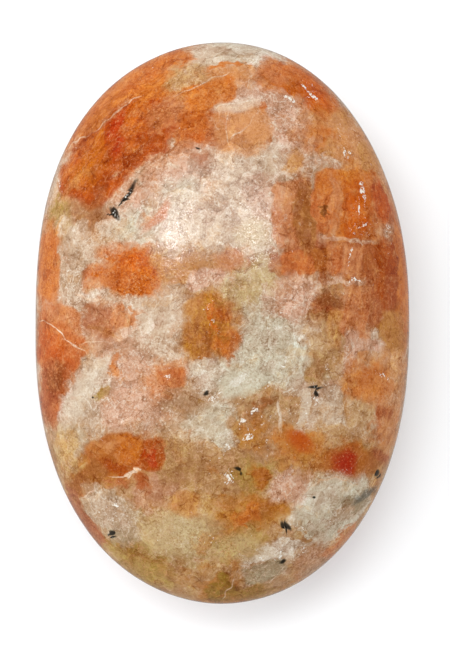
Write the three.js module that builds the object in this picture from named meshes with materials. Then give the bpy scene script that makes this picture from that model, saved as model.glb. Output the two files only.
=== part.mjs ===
import * as THREE from "three";

// A sunstone palm stone: one solid piece of feldspar, ground by hand to a plump oval
// and polished all over. Millimetres, +Z up. The stone lies on its underside, and the
// origin is on the resting plane, under the middle of the stone. Its length runs along Y.

// Driving dimensions
const LENGTH = 66; // tip to tip, along Y
const WIDTH = 44; // across the middle, along X
const CROWN_HEIGHT = 12.2; // from the widest level up to the top of the dome
const BELLY_DEPTH = 10.9; // from the widest level down, as a full dome before its foot is ground
const FOOT_SHARE = 0.33; // size of the ground foot, as a share of the outline

// Shape of the curves: 2 is an ellipse, and more is fuller
const SECTION_FULLNESS = 2.15; // of the dome and of the belly, seen from the side
// Of the outline's shoulders, seen from above: right rear, left rear, left front, right front.
const SHOULDER_FULLNESS = [2.22, 2.6, 2.45, 2.33];

// Fineness of the facets
const SPOKES = 96; // round the outline
const CROWN_RINGS = 18; // from the widest level to the top
const BELLY_RINGS = 14; // from the foot's edge to the widest level

const QUARTER_TURN = Math.PI / 2;

// How full the outline is at a turn round it. Each shoulder has its own value in the
// middle of its quarter, which passes smoothly into the next quarter's.
function shoulderFullness(turn) {
  const quarters = (turn / QUARTER_TURN + 3.5) % 4;
  const from = Math.floor(quarters);
  const blend = THREE.MathUtils.smoothstep(quarters - from, 0, 1);
  return THREE.MathUtils.lerp(SHOULDER_FULLNESS[from], SHOULDER_FULLNESS[(from + 1) % 4], blend);
}

// A point of the outline seen from above: an ellipse whose shoulders are pushed out.
function outlinePoint(turn) {
  const along = Math.sin(turn);
  const fuller = Math.sign(along) * Math.abs(along) ** (2 / shoulderFullness(turn));
  return new THREE.Vector2((WIDTH / 2) * Math.cos(turn), (LENGTH / 2) * fuller);
}

// One point of the side view at a rise of 0 to 90 degrees above or below the widest
// level: x is the share of the outline's radius, and y the height from that level.
function sectionPoint(rise, depth) {
  const share = Math.cos(rise) ** (2 / SECTION_FULLNESS);
  const height = depth * Math.sin(rise) ** (2 / SECTION_FULLNESS);
  return new THREE.Vector2(share, height);
}

// The side view from the middle of the foot, round the widest level, to the top.
function sideView() {
  const footRise = Math.acos(FOOT_SHARE ** (SECTION_FULLNESS / 2));
  const points = [];
  for (let ring = 0; ring < BELLY_RINGS; ring++) {
    const rise = footRise * (1 - ring / BELLY_RINGS);
    points.push(sectionPoint(rise, -BELLY_DEPTH));
  }
  for (let ring = 0; ring < CROWN_RINGS; ring++) {
    points.push(sectionPoint((QUARTER_TURN * ring) / CROWN_RINGS, CROWN_HEIGHT));
  }
  const footLevel = points[0].y;
  points.unshift(new THREE.Vector2(0, footLevel));
  points.push(new THREE.Vector2(0, CROWN_HEIGHT));
  for (const point of points) point.y -= footLevel;
  return points;
}

// The side view is turned to a round solid of radius 1, and each point of it is then
// moved out to its share of the oval outline.
function stoneGeometry() {
  const geometry = new THREE.LatheGeometry(sideView(), SPOKES);
  geometry.rotateX(QUARTER_TURN);
  const position = geometry.getAttribute("position");
  for (let i = 0; i < position.count; i++) {
    const share = Math.hypot(position.getX(i), position.getY(i));
    const turn = Math.atan2(position.getY(i), position.getX(i));
    const edge = outlinePoint((turn + 4 * QUARTER_TURN) % (4 * QUARTER_TURN));
    position.setXY(i, share * edge.x, share * edge.y);
  }
  geometry.computeVertexNormals();
  return geometry;
}

const feldspar = new THREE.MeshStandardMaterial({
  color: new THREE.Color(0.75, 0.5, 0.33),
  roughness: 0.14,
  metalness: 0,
});

const stone = new THREE.Mesh(stoneGeometry(), feldspar);
stone.name = "sunstone";

const part = new THREE.Group();
part.add(stone);

export default part;
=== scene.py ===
import math

import bmesh
import bpy
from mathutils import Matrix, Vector, noise


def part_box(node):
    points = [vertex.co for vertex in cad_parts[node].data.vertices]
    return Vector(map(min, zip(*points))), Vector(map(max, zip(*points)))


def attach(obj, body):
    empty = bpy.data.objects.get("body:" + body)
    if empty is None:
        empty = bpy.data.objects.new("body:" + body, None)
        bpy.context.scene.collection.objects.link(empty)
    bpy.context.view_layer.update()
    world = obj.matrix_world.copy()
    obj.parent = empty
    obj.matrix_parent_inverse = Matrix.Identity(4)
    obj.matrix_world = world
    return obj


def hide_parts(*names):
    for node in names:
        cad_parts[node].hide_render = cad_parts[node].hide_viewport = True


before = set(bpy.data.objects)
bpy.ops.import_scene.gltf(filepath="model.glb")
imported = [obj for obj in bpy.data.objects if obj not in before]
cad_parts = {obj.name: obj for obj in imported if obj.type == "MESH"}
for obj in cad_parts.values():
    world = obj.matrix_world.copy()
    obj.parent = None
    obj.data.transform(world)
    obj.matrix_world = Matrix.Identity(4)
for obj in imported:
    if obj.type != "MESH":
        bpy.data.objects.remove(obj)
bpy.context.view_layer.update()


# The stone's form. One piece of feldspar, ground by hand on a wheel to a plump oval that
# fills the palm, with a small flat foot that it lies on, and tumbled until it is smooth.
# It is modelled in millimetres from the solid's own box, and its mesh is in metres.

MM = 0.001
MESH_CUTS = 119  # a cube's edges are cut this often before it is blown up to the stone
CROWN_HEIGHT = 12.2  # mm, from the widest level up to the top of the dome
BELLY_DEPTH = 10.9  # mm, from the widest level down, before the foot is ground off
SECTION_FULLNESS = 2.15  # of the side view: 2 is an ellipse
# How full the outline's shoulders are: right rear, left rear, left front, right front.
SHOULDER_FULLNESS = (2.22, 2.6, 2.45, 2.33)
WAVE_LENGTHS = (11, 4.5)  # mm, of the slow waves that hand grinding leaves
WAVE_DEPTHS = (0.09, 0.035)  # mm

low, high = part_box("sunstone")
half_width = (high.x - low.x) / 2 / MM
half_length = (high.y - low.y) / 2 / MM
widest_level = high.z / MM - CROWN_HEIGHT


def shoulder_fullness(turn):
    """How full the outline is at a turn round it: each shoulder's value passes into the next."""
    quarters = (turn / (math.pi / 2) + 3.5) % 4  # quarter turns on from the right rear shoulder
    blend = quarters % 1
    blend = blend * blend * (3 - 2 * blend)
    first = SHOULDER_FULLNESS[int(quarters)]
    second = SHOULDER_FULLNESS[(int(quarters) + 1) % 4]
    return first + (second - first) * blend


def outline_point(turn):
    """A point of the oval outline seen from above, in mm."""
    along = math.sin(turn)
    fuller = math.copysign(abs(along) ** (2 / shoulder_fullness(turn)), along)
    return half_width * math.cos(turn), half_length * fuller


def stone_point(ball_point):
    """Where a point of a ball of radius 1 lies on the stone, in mm."""
    turn = math.atan2(ball_point.y, ball_point.x) % (2 * math.pi)
    edge_x, edge_y = outline_point(turn)
    level = max(-1, min(1, ball_point.z))
    share = math.sqrt(1 - level * level) ** (2 / SECTION_FULLNESS)
    depth = CROWN_HEIGHT if level > 0 else BELLY_DEPTH
    height = math.copysign(depth * abs(level) ** (2 / SECTION_FULLNESS), level)
    return Vector((share * edge_x, share * edge_y, widest_level + height))


def crown_rise(x, y):
    """How far the dome stands over the widest level at a point of the plan, in mm."""
    share = min(0.999, math.hypot(x / half_width, y / half_length))  # 1 would be the rim itself
    return CROWN_HEIGHT * (1 - share**SECTION_FULLNESS) ** (1 / SECTION_FULLNESS)


def make_stone():
    """The stone as a fine mesh: a cube blown up to a ball and drawn out to the oval."""
    ball = bmesh.new()
    bmesh.ops.create_cube(ball, size=2)
    bmesh.ops.subdivide_edges(ball, edges=ball.edges[:], cuts=MESH_CUTS, use_grid_fill=True)
    for vertex in ball.verts:
        ball_point = Vector(math.tan(part * math.pi / 4) for part in vertex.co).normalized()
        spot = stone_point(ball_point)
        sunk = sum(
            depth * (0.5 + 0.5 * noise.noise(spot / length))
            for length, depth in zip(WAVE_LENGTHS, WAVE_DEPTHS)
        )
        inwards = Vector((spot.x / half_width**2, spot.y / half_length**2, 0)).normalized()
        inwards.z = ball_point.z
        spot -= inwards.normalized() * sunk
        spot.z = max(0, spot.z)
        vertex.co = spot * MM
    for face in ball.faces:
        face.smooth = True
    mesh = bpy.data.meshes.new("sunstone_skin")
    ball.to_mesh(mesh)
    ball.free()
    skin = bpy.data.objects.new("sunstone_skin", mesh)
    bpy.context.scene.collection.objects.link(skin)
    return skin


stone = make_stone()


# What the stone is made of. Sunstone is a plagioclase feldspar: a cream and pinkish ground
# of interlocking grains, with blocky crystals stained orange to crimson by flakes of iron
# and copper oxide, dark specks of hornblende, and healed cracks that show as pale lines.


class Wire:
    """One output of a shader node. Sums on it are written as plain Python."""

    def __init__(self, socket):
        self.socket = socket

    def maths(self, operation, *values):
        inputs = dict(enumerate(values))
        return add(self.socket.id_data, "ShaderNodeMath", {"operation": operation}, inputs)

    def __add__(self, other):
        return self.maths("ADD", self, other)

    def __radd__(self, other):
        return self.maths("ADD", other, self)

    def __sub__(self, other):
        return self.maths("SUBTRACT", self, other)

    def __rsub__(self, other):
        return self.maths("SUBTRACT", other, self)

    def __mul__(self, other):
        return self.maths("MULTIPLY", self, other)

    def __rmul__(self, other):
        return self.maths("MULTIPLY", other, self)

    def output(self, name):
        """Another output of the same node."""
        return Wire(self.socket.node.outputs[name])


def add(tree, kind, settings=None, inputs=None, output=0):
    """Adds a node: first its settings, then the value or wire of each socket."""
    node = tree.nodes.new(kind)
    for name, value in (settings or {}).items():
        if name == "stops":
            ramp = node.color_ramp
            while len(ramp.elements) < len(value):
                ramp.elements.new(0.5)
            for element, (position, colour) in zip(ramp.elements, value):
                element.position = position
                element.color = colour
        else:
            setattr(node, name, value)
    for name, value in (inputs or {}).items():
        if isinstance(value, Wire):
            tree.links.new(value.socket, node.inputs[name])
        else:
            node.inputs[name].default_value = value
    return Wire(node.outputs[output]) if node.outputs else None


STUDIO_LIGHT = 1.68  # how much brighter the studio is than light that shows a colour as it is


def paint(red, green, blue):
    """A colour as it looks in the studio, 0 to 255, as the share of light that it throws back."""
    parts = (part / 255 for part in (red, green, blue))
    light = (part / 12.92 if part < 0.04045 else ((part + 0.055) / 1.055) ** 2.4 for part in parts)
    return (*(part / STUDIO_LIGHT for part in light), 1)


feldspar = bpy.data.materials.new("feldspar")
feldspar.use_nodes = True
tree = feldspar.node_tree
tree.nodes.clear()


def vector_sum(operation, first, second):
    """A sum, difference or product of two places or colours."""
    return add(tree, "ShaderNodeVectorMath", {"operation": operation}, {0: first, 1: second})


def noise_at(place, size, detail, roughness=0.5, distortion=0, output="Fac"):
    """Cloudy noise, mostly 0.3 to 0.7, whose patches are about size mm across."""
    inputs = {"Vector": place, "Scale": 1 / size, "Detail": detail, "Roughness": roughness}
    inputs["Distortion"] = distortion
    return add(tree, "ShaderNodeTexNoise", None, inputs, output)


def cells_at(place, size, feature="F1", output="Color"):
    """A packing of irregular grains about size mm across."""
    inputs = {"Vector": place, "Scale": 1 / size, "Randomness": 0.9}
    return add(tree, "ShaderNodeTexVoronoi", {"feature": feature}, inputs, output)


def moved(place, amounts, reach):
    """The place moved by three random amounts of 0 to 1, by at most some reach in mm."""
    centred = vector_sum("SUBTRACT", amounts, (0.5, 0.5, 0.5))
    return vector_sum("ADD", place, vector_sum("MULTIPLY", centred, (2 * reach,) * 3))


def shift(place, size, detail, reach):
    """The place moved about by noise, so that edges wander."""
    return moved(place, noise_at(place, size, detail, 0.7, output="Color"), reach)


def chipped(place, size, reach):
    """The place moved grain by grain, so that edges follow the sides of small angular grains."""
    return moved(place, cells_at(place, size), reach)


SMOOTH = {"interpolation_type": "SMOOTHSTEP", "clamp": False}  # smooth steps end level by themselves


def step(value, start, end, least=0, most=1):
    """0 to 1 as a value passes from start to end, with soft ends."""
    inputs = {"Value": value, "From Min": start, "From Max": end, "To Min": least, "To Max": most}
    return add(tree, "ShaderNodeMapRange", SMOOTH, inputs)


def mix(share, under, over, blend="MIX"):
    """One colour over another."""
    settings = {"data_type": "RGBA", "blend_type": blend}
    return add(tree, "ShaderNodeMix", settings, {0: share, 6: under, 7: over}, 2)


coordinates = add(tree, "ShaderNodeTexCoord", None, None, "Object")
measure = {0: coordinates, "Scale": 1 / MM}
in_mm = add(tree, "ShaderNodeVectorMath", {"operation": "SCALE"}, measure)
ragged = shift(in_mm, 3, 5, 2.4)  # for stains and grains that run into each other
crisp = shift(in_mm, 1.8, 5, 1.1)  # for haze and the patterns in the grains
straight = shift(in_mm, 5, 2, 1.4)  # for cracks, cleavage and crystals with straight sides
fray_cloud = noise_at(crisp, 1.5, 3, 0.6) - 0.5  # breaks up every crystal's edge

MILK = paint(226, 208, 184)
CREAM = paint(214, 186, 156)
SAND = paint(206, 164, 116)
BEIGE = paint(200, 160, 126)
STRAW = paint(198, 170, 120)
BLUSH = paint(216, 168, 138)
ROSE = paint(200, 144, 112)
SALMON = paint(212, 136, 90)
PEACH = paint(220, 154, 100)
APRICOT = paint(216, 124, 52)
ORANGE = paint(208, 108, 36)
COPPER = paint(192, 82, 20)
AMBER = paint(200, 110, 32)
BRIGHT = paint(218, 100, 20)
RUST = paint(174, 78, 20)
BRICK = paint(182, 98, 56)
RED = paint(190, 60, 20)
CRIMSON = paint(172, 36, 16)
TAN = paint(184, 140, 96)
GOLD = paint(188, 122, 48)
HONEY = paint(206, 144, 84)
BROWN = paint(166, 102, 52)
UMBER = paint(138, 76, 34)
OLIVE = paint(180, 146, 80)
MOSS = paint(156, 118, 48)
GREY = paint(170, 150, 120)
SLATE = paint(96, 90, 78)
SILVER = paint(200, 178, 146)
PEARL = paint(218, 208, 182)
FROST = paint(244, 230, 210)
CORAL = paint(204, 114, 62)
CLAY = paint(180, 112, 80)
BRONZE = paint(184, 106, 46)
FLAW = paint(238, 202, 166)
LEMON = paint(208, 168, 112)
CHAFF = paint(212, 190, 146)
DUSK = paint(184, 146, 112)
INK = paint(26, 26, 22)
# GLASS is near white: it paints the glints and the lens's pale streak
GLASS = paint(255, 250, 238)

# What a stain or a haze does to a colour, as a factor for each part of it
DEEPER = (0.72, 0.54, 0.36, 1)
DULLER = (0.7, 0.6, 0.52, 1)  # the same stain in the milky grains
REDDER = (1, 0.82, 0.6, 1)
YELLOWER = (0.98, 1, 0.82, 1)
ROSIER = (1, 0.92, 0.92, 1)
PALER = (1.2, 1.31, 1.44, 1)
WARMER = (1.16, 1.28, 1.12, 1)  # the same haze in the clear crystals

CRYSTAL_DEPTH = 5  # mm, half of a crystal's height


def crystal_place(place):
    """A place counted from the widest level, and the same place a quarter turn round."""
    inputs = {"Vector": place, "Location": (0, 0, -widest_level)}
    centred = add(tree, "ShaderNodeMapping", None, inputs)
    return {"place": centred, "side": vector_sum("CROSS_PRODUCT", centred, (0, 0, 1))}


CHIP_SIZE = 1.3  # mm, of the small grains that crystals' edges follow
lump_place = crystal_place(chipped(shift(in_mm, 4, 3, 2), CHIP_SIZE, 0.45))
block_place = crystal_place(chipped(straight, CHIP_SIZE, 0.2))
crack_place = crystal_place(straight)


def crystal_group(name, square):
    """A node group that gives how much of a place lies in a crystal: a block, or a round lump."""
    group = bpy.data.node_groups.new(name, "ShaderNodeTree")
    sockets = dict.fromkeys(("Place", "Side", "Scale", "Cross", "Offset"), "Vector")
    sockets.update(dict.fromkeys(("Cloud", "Fray", "Rim", "Core", "Share"), "Float"))
    for socket, kind in sockets.items():
        group.interface.new_socket(name=socket, in_out="INPUT", socket_type="NodeSocket" + kind)
    group.interface.new_socket(name="Inside", in_out="OUTPUT", socket_type="NodeSocketFloat")
    given = add(group, "NodeGroupInput")
    wires = {socket: given.output(socket) for socket in sockets}
    placed = {"operation": "MULTIPLY_ADD"}
    # The place in the crystal's own turned frame, where its middle is 0 and its rim is 1
    turned = {0: wires["Side"], 1: wires["Cross"], 2: wires["Offset"]}
    turned = add(group, "ShaderNodeVectorMath", placed, turned)
    spot = {0: wires["Place"], 1: wires["Scale"], 2: turned}
    spot = add(group, "ShaderNodeVectorMath", placed, spot)
    if square:
        spot = add(group, "ShaderNodeVectorMath", {"operation": "MULTIPLY"}, {0: spot, 1: spot})
    far = add(group, "ShaderNodeVectorMath", {"operation": "DOT_PRODUCT"}, {0: spot, 1: spot}, "Value")
    frayed = wires["Cloud"].maths("MULTIPLY_ADD", wires["Cloud"], wires["Fray"], far)
    limits = {"Value": frayed, "From Min": wires["Rim"], "From Max": wires["Core"]}
    limits["To Max"] = wires["Share"]
    add(group, "NodeGroupOutput", None, {"Inside": add(group, "ShaderNodeMapRange", SMOOTH, limits)})
    return group


block_group = crystal_group("block", True)
lump_group = crystal_group("lump", False)


def inside(place, middle, reach, turn, blur, share=1, square=False, fray=1.2):
    """How much of a crystal is at each place. middle and reach, half its size, are in mm."""
    x, y = middle
    along, across = reach
    cosine, sine = math.cos(math.radians(turn)), math.sin(math.radians(turn))
    inputs = {
        "Place": place["place"],
        "Side": place["side"],
        "Cloud": fray_cloud,
        "Fray": fray,
        "Scale": (cosine / along, cosine / across, 1 / CRYSTAL_DEPTH),
        "Cross": (sine / along, sine / across, 0),
        "Offset": (
            -(x * cosine + y * sine) / along,
            (x * sine - y * cosine) / across,
            -crown_rise(x, y) / CRYSTAL_DEPTH,
        ),
        "Rim": 1 + blur,
        "Core": 1 - blur,
        "Share": share,
    }
    return add(tree, "ShaderNodeGroup", {"node_tree": block_group if square else lump_group}, inputs)


def lay(colour, place, middle, reach, turn, shade, blur, share, square, fray):
    """Lays one crystal over the colour so far."""
    return mix(inside(place, middle, reach, turn, blur, share, square, fray), colour, shade)


# The ground, in large soft tones
CLOUD_SIZE = 5  # mm
PATCH_SIZE = 2.4  # mm
FRONT_RANGE = (-9, -16)  # mm along the stone, over which the ground turns tan

cloud = noise_at(ragged, CLOUD_SIZE, 4, 0.55)
ground = mix(step(cloud, 0.35, 0.65), BEIGE, CREAM)
patches = noise_at(ragged, PATCH_SIZE, 3, 0.5, 0.6)
ground = mix(step(patches, 0.5, 0.72, 0, 0.7), ground, BLUSH)
front = mix(step(cloud, 0.4, 0.62), TAN, SAND)
front = mix(step(patches, 0.5, 0.7, 0, 0.7), front, GOLD)
length_wise = add(tree, "ShaderNodeSeparateXYZ", None, {0: ragged}, 1)
ground = mix(step(length_wise, *FRONT_RANGE), ground, front)

# The belly, where the photograph doesn't reach, is a packing of grains of every shade.
BELLY_GRAIN_SIZE = 4.6  # mm
BELLY_RANGE = (1, -3)  # mm over and under the widest level, where the belly's packing sets in
BELLY_SHADES = (
    (0, CREAM), (0.2, BEIGE), (0.34, BLUSH), (0.46, SALMON), (0.58, PEACH), (0.7, ORANGE), (0.82, TAN),
    (0.92, RUST), (1, AMBER),
)  # each with where it starts among the grains' random values

grains = cells_at(ragged, BELLY_GRAIN_SIZE)
grains = add(tree, "ShaderNodeSeparateColor", None, {0: grains}, 0)
belly = add(tree, "ShaderNodeValToRGB", {"stops": BELLY_SHADES}, {0: grains})
level = add(tree, "ShaderNodeSeparateXYZ", None, {0: ragged}, 2)
belly_start, belly_end = (widest_level + height for height in BELLY_RANGE)
ground = mix(step(level, belly_start, belly_end), ground, belly)

# The broad tones of the crown. name: middle and reach in mm, turn in degrees, shade, share
FIELD_BLUR = 0.9  # how soft a tone's edge is: 1 fades from its middle on
FIELD_FRAY = 2  # how far noise breaks up its edge
FIELDS = {
    # Rear left
    "rear left rim": ((-13.2, 25.8), (8.5, 3), 45, APRICOT, 0.95),
    "slab ground": ((-11.6, 20.4), (8.8, 4.2), 42, COPPER, 1),
    "slab gold": ((-15.4, 18), (3.6, 2.8), 45, AMBER, 0.8),
    "rear left orange": ((-7.5, 27.5), (3.4, 2.6), 35, APRICOT, 0.9),
    "rear rim orange": ((-6.5, 31), (4, 1.6), 22, APRICOT, 0.9),
    "rear tan": ((-4.4, 28.8), (2.4, 1.8), 20, SAND, 0.9),
    "rear cream": ((2.4, 31.4), (6, 2), -6, PEARL, 0.95),
    # Rear middle
    "rear middle orange": ((-0.8, 27.2), (4.8, 2.6), 25, PEACH, 1),
    "lower orange": ((-2.8, 22.8), (2.8, 2.6), 10, ORANGE, 0.9),
    "rear blush": ((4, 25), (3.6, 2.4), 0, BLUSH, 0.9),
    "rear salmon": ((1.8, 21.6), (3.6, 2.6), 10, SALMON, 0.9),
    "blush over the milk": ((-3.6, 18.8), (3, 2), 0, BLUSH, 0.8),
    # Rear right
    "rear right orange": ((9.4, 26.6), (6.4, 3), -36, ORANGE, 1),
    "rear right blush": ((7.6, 23.2), (3.4, 2), -20, BLUSH, 0.9),
    "shoulder tan": ((11.4, 21.8), (2.8, 2.2), 0, SALMON, 0.8),
    "shoulder orange": ((12.6, 22.8), (3.8, 2.4), -30, PEACH, 0.8),
    "shoulder sand": ((15.2, 20.4), (3.4, 2.6), -50, PEACH, 0.9),
    "sand spot": ((8, 19), (2.4, 1.8), 0, BLUSH, 0.7),
    "middle cream": ((3.4, 17.6), (4, 3.4), 0, CREAM, 0.9),
    # Left
    "left cream": ((-8.6, 14.2), (5.5, 4.2), 30, PEARL, 0.9),
    "left sand": ((-15, 12.6), (3, 3), 0, BEIGE, 0.8),
    "left green": ((-18.6, 12.6), (1.6, 2.6), 0, OLIVE, 0.7),
    "highlight milk": ((-3, 11.5), (5, 3.4), -15, CREAM, 0.8),
    "left rim": ((-20.4, 6.6), (2, 5), 0, APRICOT, 0.8),
    "left pale band": ((-16.8, 6), (2.4, 6), 5, CREAM, 0.95),
    "orange by the left": ((-10.4, 6.2), (3.8, 3), -10, ORANGE, 0.9),
    "brown middle": ((-4.6, 6.6), (3.4, 2.2), 0, TAN, 0.9),
    "salmon middle": ((1, 7.2), (2.4, 1.8), 0, TAN, 0.8),
    "cream under it": ((-8.4, 1.6), (3.8, 2.4), 0, CREAM, 0.9),
    "left brown": ((-13.8, -0.4), (2.8, 2.6), 0, ROSE, 0.9),
    "left orange": ((-19.6, -1.8), (3, 4), 0, CORAL, 0.95),
    "left foot": ((-19.4, -8), (2.2, 3.6), -10, CORAL, 0.95),
    # Middle
    "amber ground": ((-1.2, -0.4), (3.4, 4.6), 0, GOLD, 0.95),
    "straw": ((3.6, 4.2), (3, 3.2), 0, STRAW, 0.9),
    "milk band": ((4, 11), (3.6, 4), 20, CREAM, 0.8),
    "pale middle": ((5.6, -0.8), (3.4, 3.8), 0, PEARL, 0.9),
    "milk under": ((3.4, -5.6), (5.6, 3), -8, PEARL, 0.95),
    "left salmon": ((-10.8, -7.6), (4.8, 5.2), 0, BLUSH, 0.9),
    "left milk": ((-14.9, -8.4), (2.4, 4.4), -18, CREAM, 0.95),
    "heart ground": ((-6, -6), (2.6, 2), 0, SALMON, 0.8),
    "grey middle": ((-3, -8.4), (3, 2), 0, DUSK, 0.8),
    "misty middle": ((-0.8, -11.6), (3.2, 2.4), 0, SILVER, 0.8),
    "glassy ground": ((4, -12.2), (3.4, 2.8), 0, DUSK, 0.9),
    "glassy cream": ((5.6, -9.4), (3.2, 1.8), 0, SILVER, 0.7),
    # Right
    "right rose": ((5.4, 14), (2.2, 3), 0, BLUSH, 0.7),
    "right brown": ((9.2, 12), (2.3, 4.4), 0, BRICK, 0.7),
    "right orange": ((15, 13.2), (4.6, 5.4), 0, APRICOT, 0.95),
    "right rust": ((18.8, 13.8), (1.8, 3.4), 20, COPPER, 0.8),
    "right brick": ((8.2, 7.2), (2.6, 2.4), 0, BRICK, 0.9),
    "right gold": ((11.2, 7.6), (1.6, 2.6), 0, RUST, 0.7),
    "right salmon": ((15.2, 7), (3.4, 3.2), 0, BRICK, 0.9),
    "deep ground": ((19, 4.6), (2.4, 5.6), 5, RUST, 0.95),
    "right lilac": ((7.8, 2.8), (2.8, 2.4), 0, BLUSH, 0.9),
    "umber eye": ((12.2, 1.8), (2.4, 2.8), 0, BROWN, 0.8),
    "salmon column ground": ((15.8, 1.4), (2.2, 3.6), -10, SALMON, 0.9),
    "right gold foot": ((20, -0.8), (2, 2.8), 0, GOLD, 0.9),
    "brown foot": ((12.6, -2.4), (2, 2.4), 0, TAN, 0.8),
    "right front orange": ((17.2, -6.6), (4, 3.4), -10, PEACH, 0.9),
    "right front beige": ((13.8, -11), (3.6, 2.6), 0, SAND, 0.9),
    "right front brick": ((18.8, -11.4), (1.8, 2.4), 0, CORAL, 0.8),
    "right rear edge": ((18, 18.5), (6, 2), -62, PEACH, 0.8),
    "right edge": ((21, 5), (1.4, 8), 2, APRICOT, 0.9),
    "right front edge": ((19.6, -12), (1.4, 6), -18, PEACH, 0.8),
    "milk by the bar": ((8.6, -9.6), (2.8, 2.8), 0, CREAM, 0.8),
    "olive by the bar": ((10.6, -5), (1.8, 2.4), 0, OLIVE, 0.6),
    # Front left
    "teardrop ground": ((-17.4, -14.4), (2.4, 3.2), 20, SILVER, 0.8),
    "front orange": ((-11.6, -15.4), (4.8, 2.6), 8, BRONZE, 0.95),
    "front brown": ((-15.4, -17.9), (3.6, 1.9), 42, GOLD, 0.9),
    "front tan": ((-4.6, -16.4), (3.6, 3), 0, TAN, 0.9),
    "front rose": ((-7.4, -19.4), (3.2, 1.8), 0, ROSE, 0.8),
    "pebbly ground": ((-12.8, -22), (4.2, 2.8), -30, SILVER, 0.9),
    "front rim": ((-16.4, -22.8), (4.2, 1.3), -52, CLAY, 0.95),
    "golden ground": ((-4, -20.8), (2.4, 2.0), 0, LEMON, 0.8),
    "straw front": ((-5.4, -25), (5, 3), 0, STRAW, 0.95),
    "straw spot": ((-7.6, -24.4), (2.6, 1.8), 0, LEMON, 0.5),
    "olive rim": ((-9.6, -28), (4.6, 1.8), -32, OLIVE, 0.9),
    "gold tip": ((0.2, -31.4), (3.4, 1.6), 0, GOLD, 0.9),
    # Front right
    "front rust ground": ((8.8, -13.8), (3.2, 2), -18, HONEY, 0.9),
    "crimson ground": ((14.6, -16.2), (3.8, 2.3), -8, GOLD, 1),
    "front rose right": ((7.6, -18.6), (2.8, 2.2), 0, BLUSH, 0.8),
    "gold middle": ((4.2, -17.6), (2.4, 2.6), 0, OLIVE, 0.95),
    "plate ground": ((12.4, -21.6), (5.2, 3.8), 35, PEARL, 0.95),
    "plate cream": ((11.4, -20.4), (2.6, 1.6), 25, CREAM, 0.8),
    "orange front": ((3.4, -21.8), (4.4, 2.2), 5, GOLD, 0.9),
    "yellow front": ((2, -25.6), (3.4, 2), 0, OLIVE, 0.7),
    "crumbly ground": ((6.4, -27), (4, 1.6), 18, CREAM, 0.9),
    "grey foot": ((5, -29.4), (3.4, 1.6), 25, DUSK, 0.8),
    "lilac foot": ((11, -27.6), (3, 1.8), 38, ROSE, 0.8),
}

colour = ground
for middle, reach, turn, shade, share in FIELDS.values():
    colour = lay(colour, lump_place, middle, reach, turn, shade, FIELD_BLUR, share, False, FIELD_FRAY)


def tint(amount, tone):
    """Multiplies the colour so far by a tone."""
    return mix(amount, colour, tone, "MULTIPLY")


HAZE_SIZE = 1.3  # mm
haze = noise_at(crisp, HAZE_SIZE, 5, 0.72)
colour = tint(step(haze, 0.54, 0.7, 0, 0.6), PALER)
broad = colour  # the tones without crystals, which come back where a veil lies over them

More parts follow.
